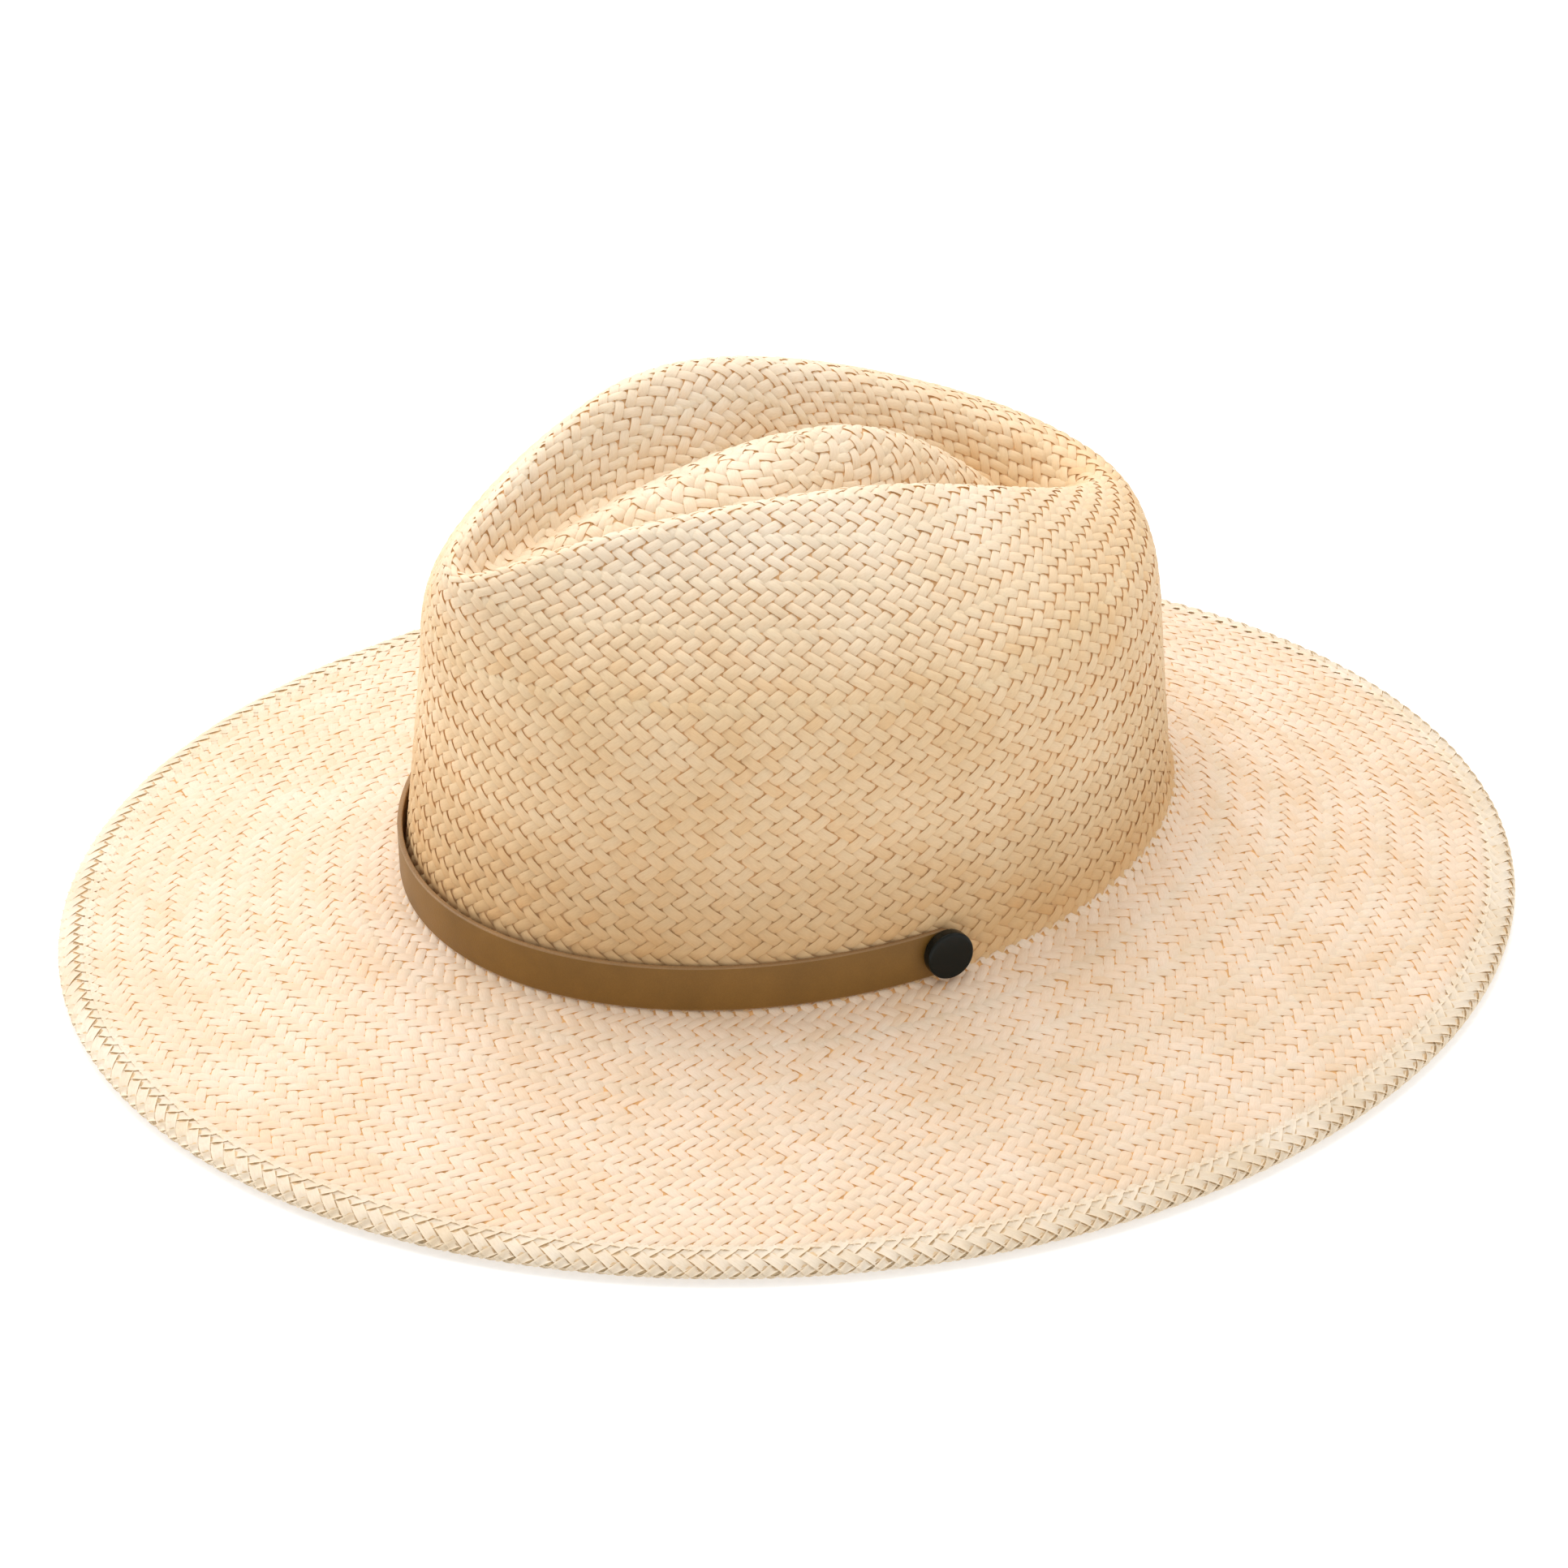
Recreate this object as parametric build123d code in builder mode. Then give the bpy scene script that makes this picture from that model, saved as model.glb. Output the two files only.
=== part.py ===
from build123d import *
import os
from math import cos, sin, pi, radians

os.makedirs("parts", exist_ok=True)

# A wide-brimmed straw hat with a teardrop crown. Millimetres, +Z up, +Y towards the back of the
# head, +X the wearer's left side. The hat rests on its brim hem, and the origin is the middle of
# the footprint. The crown leans a little forward, so it has a frame of its own: its XY plane is
# the break, where the crown meets the brim.

# ---- driving dimensions -------------------------------------------------------------------
straw = 2.0  # thickness of the woven body
brim_half_width, brim_half_length = 173.2, 192.7
break_y, break_z = 2.9, 29.5  # where the middle of the head opening stands
crown_pitch = 3.6  # degrees that the crown leans forward

head_half_width = 86.0  # outside of the crown at the break
head_front, head_back = -104.3, 98.1
lean_side, lean_front, lean_back = 0.05, 0.15, 0.0  # how the walls lean in, per mm of height

shoulder_front, shoulder_side, shoulder_back = 62.0, 60.6, 55.9  # heights where the walls end
round_front, round_side, round_back = 2.1, 2.1, 0.6  # 1 is a round shoulder, 2 a chamfer
pinch_front, pinch_back = 2.7, -0.5  # added between front and side, and between back and side

ridge_middle, ridge_half_length, ridge_half_width = -2.1, 90.9, 38.2
ridge_pinch, cheek_pinch = 0.46, 0.28  # how far the ridges close in at the front and beside it
groove_middle, groove_half_length, groove_half_width = -6.7, 77.4, 19.5
groove_depth_side, groove_depth_front, groove_depth_back = 24.3, 8.8, 10.3
island_y, island_z = 6.1, 110.8  # top of the raised island in the crease

hem_height, hem_fold = 4.4, 4.0  # the rolled edge of the brim
hem_width = 9.0  # the edge strip turned under the brim
hem_straw = 1.4
edge_under = 2.0  # height of the brim's underside where it meets the roll
wire_diameter = 1.6
stitch_line = 7.0  # from the brim's edge to the hem stitching
thread = 0.5

band_low, band_high, band_thickness, band_gap = 1.0, 13.4, 1.4, 0.4
stud_height, stud_forward = 7.1, 1.8  # the studs stand a little ahead of the middle of the side
cap_diameter, cap_thickness = 12.8, 3.2
post_diameter, running_clearance = 3.0, 0.05
washer_diameter, washer_thickness = 7.4, 0.8

sweatband_gap, sweatband_thickness = 2.6, 1.2
sweatband_low, sweatband_high, sweatband_foot = 1.0, 34.0, 2.0
foot_gap = 0.05  # between the straw and the foot that is sewn to it
tab_width, tab_thickness = 14.0, 0.8

ring_points = 32
break_plane = Plane(
    origin=(0, break_y, break_z),
    x_dir=(1, 0, 0),
    z_dir=(0, -sin(radians(crown_pitch)), cos(radians(crown_pitch))),
)


# ---- the crown's shape, in its own frame --------------------------------------------------
def side_front_back(turn):
    """Shares of side, front and back at one angle round the crown, adding up to one."""
    front = max(0.0, -sin(turn)) ** 2
    back = max(0.0, sin(turn)) ** 2
    return cos(turn) ** 2, front, back


def wall_oval(height, inset):
    """Middle, half width and half length of the oval of the side wall at a height."""
    front = head_front + lean_front * height + inset
    back = head_back - lean_back * height - inset
    half_width = head_half_width - lean_side * height - inset
    return (front + back) / 2, half_width, (back - front) / 2


def ridge_height(along):
    """Height of the crease's ridge, from the front, -1, to the back, 1."""
    return 117.5 - 17.8 * along - 33.4 * along**2 + 3.0 * along**3 + 7.0 * along**4


def crown_point(turn, stage, inset):
    """A point of the crown's surface: stage 0 to 1 climbs the wall, 1 to 2 rounds the shoulder
    up to the ridge, 2 to 3 drops into the groove and 3 to 4 climbs the island in its middle."""
    across, along = cos(turn), sin(turn)
    side, front, back = side_front_back(turn)
    shoulder = shoulder_side * side + shoulder_front * front + shoulder_back * back
    pinch = 1 - ridge_pinch * front - cheek_pinch * side * front

    ridge_x = ridge_half_width * across * pinch
    ridge_y = ridge_middle + ridge_half_length * along
    ridge_z = ridge_height(along) - 1.3 * inset
    depth = groove_depth_side * side + groove_depth_front * front + groove_depth_back * back
    groove_x = (groove_half_width * pinch + 0.6 * inset) * across
    groove_y = groove_middle + (groove_half_length + 0.6 * inset) * along
    groove_z = ridge_height(along) - depth - inset

    if stage <= 1:
        middle, half_width, half_length = wall_oval(shoulder * stage, inset)
        return half_width * across, middle + half_length * along, shoulder * stage
    if stage <= 2:
        roundness = round_side * side + round_front * front + round_back * back
        roundness += side * (pinch_front * front + pinch_back * back)
        middle, half_width, half_length = wall_oval(shoulder, inset)
        climb = (stage - 1) * pi / 2
        out = max(0.0, cos(climb)) ** roundness
        x = ridge_x + (half_width * across - ridge_x) * out
        y = ridge_y + (middle + half_length * along - ridge_y) * out
        return x, y, shoulder + (ridge_z - shoulder) * sin(climb)
    if stage <= 3:
        inward = stage - 2
        drop = 0.5 - 0.5 * cos(pi * inward)
        x = ridge_x + (groove_x - ridge_x) * inward
        y = ridge_y + (groove_y - ridge_y) * inward
        return x, y, ridge_z + (groove_z - ridge_z) * drop
    out = 4 - stage
    climb = 1 - out**2
    top = island_z - inset
    return groove_x * out, island_y + (groove_y - island_y) * out, groove_z + (top - groove_z) * climb


def crown_ring(stage, inset, height=None):
    """One closed ring of the crown. A stated height moves a wall ring to that level."""
    points = []
    for number in range(ring_points):
        turn = 2 * pi * number / ring_points
        if height is None:
            point = crown_point(turn, stage, inset)
        else:
            middle, half_width, half_length = wall_oval(height, inset)
            point = (half_width * cos(turn), middle + half_length * sin(turn), height)
        points.append(break_plane.from_local_coords(Vector(*point)))
    steps = [number / ring_points for number in range(ring_points + 1)]
    return Wire([Edge.make_spline(points, periodic=True, parameters=steps)])


crown_stages = [0.5, 1.0, 1.15, 1.3, 1.45, 1.6, 1.72, 1.84, 1.94, 2.0, 2.08, 2.2, 2.35, 2.5, 2.65, 2.8,
                2.92, 3.0, 3.12, 3.3, 3.5, 3.7, 3.88]


def crown_solid(inset, foot):
    """The full volume under the crown's surface, from the level of its foot upwards."""
    rings = [crown_ring(0, inset, foot)]
    for stage in crown_stages:
        rings.append(crown_ring(stage, inset))
    top = break_plane.from_local_coords(Vector(0, island_y, island_z - inset))
    return Solid.make_loft(rings + [Vertex(*top)], ruled=True)


def wall_sketch(height, inset):
    """The oval of the side wall, drawn in the level plane at a height above the break."""
    middle, half_width, half_length = wall_oval(height, inset)
    with BuildSketch(break_plane.offset(height)) as oval:
        with Locations((0, middle)):
            Ellipse(half_width, half_length)
    return oval.sketch


def edge_sketch(height, inset):
    """The brim's outline at a height above the ground, drawn in by an inset."""
    with BuildSketch(Plane.XY.offset(height)) as outline:
        Ellipse(brim_half_width - inset, brim_half_length - inset)
    return outline.sketch


def wall_ring(low, high, outer_inset, inner_inset):
    """A band of even thickness that follows the side wall between two heights."""
    outer = loft([wall_sketch(low, outer_inset), wall_sketch(high, outer_inset)], ruled=True)
    inner = loft([wall_sketch(low, inner_inset), wall_sketch(high, inner_inset)], ruled=True)
    return outer - inner


def brim_cone(drop, foot):
    """The full volume under the brim's top surface, lowered by a drop, down to a foot level."""
    rim = edge_under + straw - drop
    sections = [edge_sketch(foot, hem_fold), edge_sketch(rim, hem_fold)]
    return loft(sections + [wall_sketch(-drop, 0)], ruled=True)


def stud_plane(side, height_above_wall):
    """The plane of a stud's axis on one side, +1 left or -1 right, standing off the wall."""
    middle, half_width, _ = wall_oval(stud_height, 0)
    centre = break_plane.from_local_coords(Vector(side * half_width, middle - stud_forward, stud_height))
    ahead = break_plane.from_local_coords(
        Vector(side * (half_width + 1), middle - stud_forward, stud_height + lean_side)
    )
    outward = (ahead - centre).normalized()
    return Plane(origin=centre + outward * height_above_wall, x_dir=(0, 1, 0), z_dir=outward)


def write(builder, name):
    builder.part.label = name
    export_step(builder.part, f"parts/{name}.step")


# ---- woven crown --------------------------------------------------------------------------
crown_outside, crown_inside = crown_solid(0, 0), crown_solid(straw, -straw)
with BuildPart() as crown:
    add(crown_outside)
    add(crown_inside, mode=Mode.SUBTRACT)
    for side in (1, -1):
        with BuildSketch(stud_plane(side, -2 * straw)):
            Circle(post_diameter / 2 + running_clearance)
        extrude(amount=4 * straw, mode=Mode.SUBTRACT)
write(crown, "crown")

# ---- woven brim: a shallow cone from the break out to the hem ------------------------------
brim_top, brim_under = brim_cone(0, edge_under), brim_cone(straw, 0)
head_opening = loft([wall_sketch(-2 * straw, straw), wall_sketch(straw, straw)], ruled=True)
with BuildPart() as brim:
    add(brim_top)
    add(brim_under, mode=Mode.SUBTRACT)
    add(head_opening, mode=Mode.SUBTRACT)
write(brim, "brim")

# ---- hem: the brim's edge rolled round the wire and turned under ---------------------------
strip_under = brim_cone(straw + hem_straw, -1)
inside_strip = extrude(edge_sketch(-1, hem_width), amount=80)
turned_under = brim_under - strip_under - inside_strip
wire_level = hem_height / 2
wire_path = edge_sketch(wire_level, wire_level).edge()
wire_section = Plane(origin=wire_path @ 0, z_dir=wire_path % 0)
with BuildPart() as brim_hem:
    with BuildSketch(Plane.XY):
        Ellipse(brim_half_width, brim_half_length)
    extrude(amount=hem_height)
    fillet(brim_hem.edges(), hem_height / 2 - 0.1)
    with BuildSketch(Plane.XY):
        Ellipse(brim_half_width - hem_fold, brim_half_length - hem_fold)
    extrude(amount=hem_height, mode=Mode.SUBTRACT)
    add(turned_under)
    with BuildSketch(wire_section):
        Circle(wire_diameter / 2)
    sweep(path=wire_path, mode=Mode.SUBTRACT)
write(brim_hem, "brim_hem")

with BuildPart() as brim_wire:
    with BuildSketch(wire_section):
        Circle(wire_diameter / 2)
    sweep(path=wire_path)
write(brim_wire, "brim_wire")

# ---- thread lying along the stitch line, on top of the brim --------------------------------
thread_top = brim_cone(-thread, edge_under)
outside_thread = extrude(edge_sketch(0, stitch_line), amount=80)
inside_thread = extrude(edge_sketch(0, stitch_line + thread), amount=80)
with BuildPart() as hem_stitching:
    add(thread_top)
    add(brim_top, mode=Mode.SUBTRACT)
    add(outside_thread, mode=Mode.INTERSECT)
    add(inside_thread, mode=Mode.SUBTRACT)
write(hem_stitching, "hem_stitching")

# ---- leather band across the front, from stud to stud --------------------------------------
band_loop = wall_ring(band_low, band_high, -band_gap - band_thickness, -band_gap)
wall_middle, wall_half_width, wall_half_length = wall_oval(stud_height, 0)
band_end = wall_middle - stud_forward + cap_diameter / 4
with BuildPart() as hat_band:
    add(band_loop)
    with BuildSketch(break_plane.offset(-10)):
        with Locations((0, band_end + wall_half_length)):
            Rectangle(4 * wall_half_width, 2 * wall_half_length)
    extrude(amount=60, mode=Mode.SUBTRACT)
    for side in (1, -1):
        with BuildSketch(stud_plane(side, -straw)):
            Circle(post_diameter / 2 + running_clearance)
        extrude(amount=4 * straw, mode=Mode.SUBTRACT)
write(hat_band, "hat_band")

# ---- studs: a flat cap outside, a post through band and crown, a washer inside -------------
cap_foot = band_gap + band_thickness + 0.3
washer_top = -straw - 0.3
for side, name in ((1, "left"), (-1, "right")):
    with BuildPart() as stud_cap:
        with BuildSketch(stud_plane(side, cap_foot)):
            Circle(cap_diameter / 2)
        extrude(amount=cap_thickness)
        outer_rim = stud_cap.faces().sort_by(Axis.X)[-1 if side > 0 else 0].edges()
        fillet(outer_rim, 0.6)
    write(stud_cap, f"stud_cap_{name}")

    with BuildPart() as stud_post:
        with BuildSketch(stud_plane(side, washer_top)):
            Circle(post_diameter / 2)
        extrude(amount=cap_foot - washer_top)
    write(stud_post, f"stud_post_{name}")

    with BuildPart() as stud_washer:
        with BuildSketch(stud_plane(side, washer_top)):
            Circle(washer_diameter / 2)
        extrude(amount=-washer_thickness)
    write(stud_washer, f"stud_washer_{name}")

# ---- sweatband: stands clear of the wall, sewn along a foot that touches it ----------------
ribbon_outside = straw + sweatband_gap
ribbon_inside = ribbon_outside + sweatband_thickness
foot_top = sweatband_low + sweatband_foot
upright = wall_ring(sweatband_low, sweatband_high, ribbon_outside, ribbon_inside)
foot = wall_ring(sweatband_low, foot_top, straw + foot_gap, ribbon_inside)
with BuildPart() as sweatband:
    add(upright)
    add(foot)
write(sweatband, "sweatband")

# ---- tab over the join at the back, and the thread under the foot --------------------------
tab_loop = wall_ring(sweatband_low, sweatband_high, ribbon_inside, ribbon_inside + tab_thickness)
with BuildPart() as sweatband_tab:
    add(tab_loop)
    with BuildSketch(break_plane.offset(-10)):
        with Locations((0, wall_half_length)):
            Rectangle(tab_width, wall_half_length)
    extrude(amount=60, mode=Mode.INTERSECT)
write(sweatband_tab, "sweatband_tab")

seam_inset = straw + foot_gap
seam = wall_ring(sweatband_low - thread, sweatband_low, seam_inset, seam_inset + thread)
with BuildPart() as sweatband_stitching:
    add(seam)
write(sweatband_stitching, "sweatband_stitching")
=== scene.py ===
import math

import bpy
import numpy as np
from mathutils import Matrix, Vector


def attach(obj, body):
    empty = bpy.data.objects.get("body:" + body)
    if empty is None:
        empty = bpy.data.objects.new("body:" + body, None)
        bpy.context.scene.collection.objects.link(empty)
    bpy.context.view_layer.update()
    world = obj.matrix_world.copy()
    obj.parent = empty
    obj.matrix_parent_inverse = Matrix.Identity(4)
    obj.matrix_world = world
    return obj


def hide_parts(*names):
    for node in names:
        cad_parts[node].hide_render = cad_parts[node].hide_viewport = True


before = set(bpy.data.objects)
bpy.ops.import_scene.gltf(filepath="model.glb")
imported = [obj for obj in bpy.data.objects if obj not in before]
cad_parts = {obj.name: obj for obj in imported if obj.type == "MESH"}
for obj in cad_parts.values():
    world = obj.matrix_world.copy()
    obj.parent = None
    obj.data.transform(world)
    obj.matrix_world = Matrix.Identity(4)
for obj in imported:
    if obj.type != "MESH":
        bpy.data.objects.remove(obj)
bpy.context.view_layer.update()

# The hat's shape is worked out in millimetres, as in the CAD, and turned into metres when a mesh
# is made. +Z up, +Y to the back of the head, +X the wearer's left, resting on z = 0.
MM = 0.001
TAU = 2 * math.pi

# ---- driving sizes: the crown, brim, band, studs and ribbon are the CAD's -------------------
brim_half = np.array([173.2, 192.7])
break_y, break_z, crown_pitch = 2.9, 29.5, math.radians(3.6)
head_half_width, head_front, head_back = 86.0, -104.3, 98.1
lean_side, lean_front = 0.05, 0.15
shoulder_side, shoulder_front, shoulder_back = 60.6, 62.0, 55.9
round_side, round_front, round_back = 2.1, 2.1, 0.6
pinch_front, pinch_back = 2.7, -0.5
ridge_middle, ridge_half_length, ridge_half_width = -2.1, 90.9, 38.2
ridge_pinch, cheek_pinch = 0.46, 0.28
groove_middle, groove_half_length, groove_half_width = -6.7, 77.4, 19.5
depth_side, depth_front, depth_back = 24.3, 8.8, 10.3
island_y, island_z = 6.1, 110.8
band_low, band_high, band_thickness, band_gap = 1.0, 13.4, 1.4, 0.4
stud_height, stud_forward, cap_radius, cap_foot, cap_thickness = 7.1, 1.8, 6.4, 2.1, 3.2
sweat_low, sweat_high, sweat_inset = 1.0, 34.0, 4.6

# sizes of the looks alone
roll_radius, roll_inset, roll_height = 1.7, 2.3, 2.3  # the brim's rolled edge
hem_under, fold_gap = 7.0, 1.5  # the strip turned under the brim, and how far below it lies
hem_top = 9.0  # from the hem's inner side to the brim's edge, before the rounding
edge_round, crease_round, lip_round, flare_round = 1.9, 2.9, 4.8, 4.5
stitch_inset, stitch_pitch = 5.2, 5.27
stitch_share = 0.156  # how far across the hem the stitches lie, which sets stitch_inset

# the straws' own unevenness: of their places in straws, their widths and the heights of floats
straw_sway, width_spread, float_spread = 0.035, 0.03, 0.07
random = np.random.default_rng(11)  # seeded, so that each run plaits the same hat


# ---- the surface of the straw body ----------------------------------------------------------
def to_row(points):
    """Points of the crown's own leaning frame, in the row frame."""
    x, y, z = points[..., 0], points[..., 1], points[..., 2]
    c, s = math.cos(crown_pitch), math.sin(crown_pitch)
    return np.stack([x, y * c - z * s + break_y, y * s + z * c + break_z], -1)


def shares(turn):
    """Shares of side, front and back at an angle round the crown."""
    front = np.clip(-np.sin(turn), 0, None) ** 2
    back = np.clip(np.sin(turn), 0, None) ** 2
    return np.cos(turn) ** 2, front, back


def wall(turn, height, inset=0.0):
    """Points of the crown's side wall, in its own frame."""
    front = head_front + lean_front * height + inset
    back = head_back - inset
    half_width = head_half_width - lean_side * height - inset
    x = half_width * np.cos(turn)
    y = (front + back) / 2 + (back - front) / 2 * np.sin(turn)
    return np.stack([x, y, height + 0 * x], -1)


def crown_curve(turn):
    """The crown's meridians at some angles, from the top of the island down to the break."""
    turn = turn[:, None]
    across, along = np.cos(turn), np.sin(turn)
    side, front, back = shares(turn)
    shoulder = shoulder_side * side + shoulder_front * front + shoulder_back * back
    roundness = round_side * side + round_front * front + round_back * back
    roundness = roundness + side * (pinch_front * front + pinch_back * back)
    pinch = 1 - ridge_pinch * front - cheek_pinch * side * front
    crest = 117.5 - 17.8 * along - 33.4 * along**2 + 3.0 * along**3 + 7.0 * along**4
    ridge = np.stack([ridge_half_width * across * pinch, ridge_middle + ridge_half_length * along,
                      crest], -1)
    depth = depth_side * side + depth_front * front + depth_back * back
    groove = np.stack([groove_half_width * pinch * across,
                       groove_middle + groove_half_length * along, crest - depth], -1)
    top = np.array([0, island_y, island_z])

    out = np.linspace(0, 1, 60)[None, :, None]
    island = top + (groove - top) * out
    island[..., 2] = groove[..., 2] + (island_z - groove[..., 2]) * (1 - out[..., 0] ** 2)
    climb = out[:, 1:]
    slope = groove + (ridge - groove) * climb
    rise = (1 - np.cos(math.pi * climb[..., 0])) / 2
    slope[..., 2] = groove[..., 2] + (ridge - groove)[..., 2] * rise
    fall = np.linspace(0, math.pi / 2, 90)[None, 1:]
    foot = wall(turn, shoulder)
    reach = np.sin(fall) ** roundness
    round_part = ridge + (foot - ridge) * reach[..., None]
    round_part[..., 2] = shoulder + (ridge[..., 2] - shoulder) * np.cos(fall)
    down = 1 - np.linspace(0, 1, 60)[None, 1:]
    side_wall = wall(turn, shoulder * down)
    return to_row(np.concatenate([island, slope, round_part, side_wall], 1))


def brim_curve(turn):
    """The brim's meridians: from the break out to the rolled edge, round it and back under.

    The top waves a little, as a hand-blocked brim does."""
    turn = turn[:, None]
    start = to_row(wall(turn, 0 * turn))
    outline = np.concatenate([np.cos(turn), np.sin(turn)], 1)[:, None]

    def at_inset(inset, height):
        flat = outline * (brim_half - inset[..., None])
        return np.concatenate([flat, height[..., None] + 0 * flat[..., :1]], -1)

    edge = at_inset(np.full((1, 1), roll_inset), np.full((1, 1), roll_height + roll_radius))
    run = np.linspace(0, 1, 80)[None, 1:, None]
    top = start + (edge - start) * run
    wave = 0.5 * np.sin(3 * turn + 0.6) + 0.35 * np.sin(5 * turn + 2.0)
    top[..., 2] += wave * np.sin(math.pi * run[..., 0]) ** 2 * 1.5
    bend = np.linspace(0, math.pi, 14)[None, 1:]
    roll = at_inset(roll_inset - roll_radius * np.sin(bend), roll_height + roll_radius * np.cos(bend))
    back = np.linspace(0, 1, 16)[None, 1:]
    inset = roll_inset + hem_under * back
    share = hem_under * back[..., None] / np.linalg.norm(edge - start, axis=-1, keepdims=True)
    fold = np.clip(back * 1.6, 0, 1)
    drop = 2 * roll_radius * (1 - fold) + fold_gap * fold
    under = at_inset(inset, 0 * inset)
    under[..., 2] = (edge + (start - edge) * share)[..., 2] - drop
    return np.concatenate([top, roll, under], 1)


def smoothed(points, width, step):
    """Meridians with their corners rounded over a width, both ends kept."""
    reach = int(3 * width / step)
    kernel = np.exp(-0.5 * (np.arange(-reach, reach + 1) * step / width) ** 2)
    kernel /= kernel.sum()
    first = 2 * points[:, :1] - points[:, reach:0:-1]
    last = 2 * points[:, -1:] - points[:, -2:-reach - 2:-1]
    padded = np.concatenate([first, points, last], 1)
    out = np.zeros_like(points)
    for number, weight in enumerate(kernel):
        out += weight * padded[:, number:number + points.shape[1]]
    return out


def resampled(points, count):
    """Each meridian cut again into equal steps, and the mean length of one."""
    lengths = np.linalg.norm(np.diff(points, axis=1), axis=-1)
    along = np.concatenate([np.zeros((len(points), 1)), np.cumsum(lengths, 1)], 1)
    out = np.empty((len(points), count, 3))
    for number, (line, travel) in enumerate(zip(points, along)):
        want = np.linspace(0, travel[-1], count)
        for axis in range(3):
            out[number, :, axis] = np.interp(want, travel, line[:, axis])
    return out, along[:, -1].mean() / (count - 1)


def evened(points):
    """Rings whose points are spread again evenly round them, starting from the front."""
    turns = len(points)
    points = np.roll(points, -(turns * 3 // 4), 0)
    closed = np.concatenate([points, points[:1]], 0)
    steps = np.linalg.norm(np.diff(closed, axis=0), axis=-1) + 1e-6
    travel = np.concatenate([np.zeros((1, points.shape[1])), np.cumsum(steps, 0)], 0)
    out = np.empty_like(points)
    for row in range(points.shape[1]):
        want = np.linspace(0, travel[-1, row], turns, endpoint=False)
        for axis in range(3):
            out[:, row, axis] = np.interp(want, travel[:, row], closed[:, row, axis])
    return np.roll(out, turns * 3 // 4, 0)


class Skin:
    """A stretch of the body's surface, read at any turn and any share of its length."""

    def __init__(self, points):
        self.points = points
        self.turns, self.rows = points.shape[:2]
        around = np.roll(points, -1, 0) - np.roll(points, 1, 0)
        self.around = around * (self.turns / (2 * TAU))
        self.down = np.gradient(points, axis=1) * (self.rows - 1)
        normal = np.cross(self.around, self.down)
        size = np.linalg.norm(normal, axis=-1, keepdims=True)
        normal = normal / np.maximum(size, 1e-9)
        normal[:, 0] = normal[:, 1].mean(0)
        self.normal = -normal if normal[:, self.rows // 2, 2].mean() < 0 else normal

    def read(self, turn, share):
        """Point, normal, and the change of the point per radian and per whole length."""
        a = np.mod(turn / TAU, 1.0) * self.turns
        b = np.clip(share, 0, 1) * (self.rows - 1)
        i, j = np.floor(a).astype(int), np.minimum(np.floor(b).astype(int), self.rows - 2)
        fa, fb = (a - i)[..., None], (b - j)[..., None]
        i, i1 = i % self.turns, (i + 1) % self.turns
        result = []
        for field in (self.points, self.normal, self.around, self.down):
            low = field[i, j] * (1 - fa) + field[i1, j] * fa
            high = field[i, j + 1] * (1 - fa) + field[i1, j + 1] * fa
            result.append(low * (1 - fb) + high * fb)
        result[1] /= np.linalg.norm(result[1], axis=-1, keepdims=True)
        return result


# samples along a meridian: over the whole body, and then in each skin
meridian_rows, crown_rows, brim_rows, hem_rows = 1400, 500, 260, 90


def body_skins():
    """The crown, the brim and the rolled hem as three stretches of one smooth surface.

    The brim's corners are rounded by edge_round, the crown's folds by crease_round, its broad
    front lip by lip_round, and the break behind the ears by flare_round."""
    turns = np.linspace(0, TAU, 720, endpoint=False)
    whole = np.concatenate([crown_curve(turns), brim_curve(turns)], 1)
    fine, step = resampled(whole, meridian_rows)
    edge, crease, lip, flare = (smoothed(fine, width, step)
                                for width in (edge_round, crease_round, lip_round, flare_round))
    from_break = np.linalg.norm(edge - to_row(wall(turns, 0 * turns))[:, None], axis=-1)
    breaks = from_break.argmin(1)
    above = (breaks[:, None] - np.arange(meridian_rows)) * step
    on_crown = np.clip(above / 15, 0, 1)[..., None]
    behind = np.clip(np.sin(turns) * 4 - 0.4, 0, 1)[:, None]
    by_flare = (behind * np.exp(-(from_break / 16) ** 2))[..., None]
    ahead = np.clip(-np.sin(turns), 0, 1)[:, None] ** 5
    by_lip = (ahead * np.clip(above / 20 - 1.5, 0, 1))[..., None]
    fine = edge + (crease - edge) * on_crown
    fine += (lip - fine) * by_lip
    fine += (flare - fine) * by_flare
    outwards = ((fine[..., :2] / brim_half) ** 2).sum(-1)
    edges = np.abs(outwards - 1).argmin(1)
    hem_steps = int(hem_top / step)
    crown, brim, hem = [], [], []
    for line, at_break, at_edge in zip(fine, breaks, edges):
        at_hem = at_edge - hem_steps
        for part, low, high, count in ((crown, 0, at_break, crown_rows),
                                       (brim, at_break, at_hem, brim_rows),
                                       (hem, at_hem, len(line) - 1, hem_rows)):
            want = np.linspace(low, high, count)
            part.append(np.stack([np.interp(want, np.arange(len(line)), line[:, axis])
                                  for axis in range(3)], -1))
    return [Skin(evened(np.array(part))) for part in (crown, brim, hem)]


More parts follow.
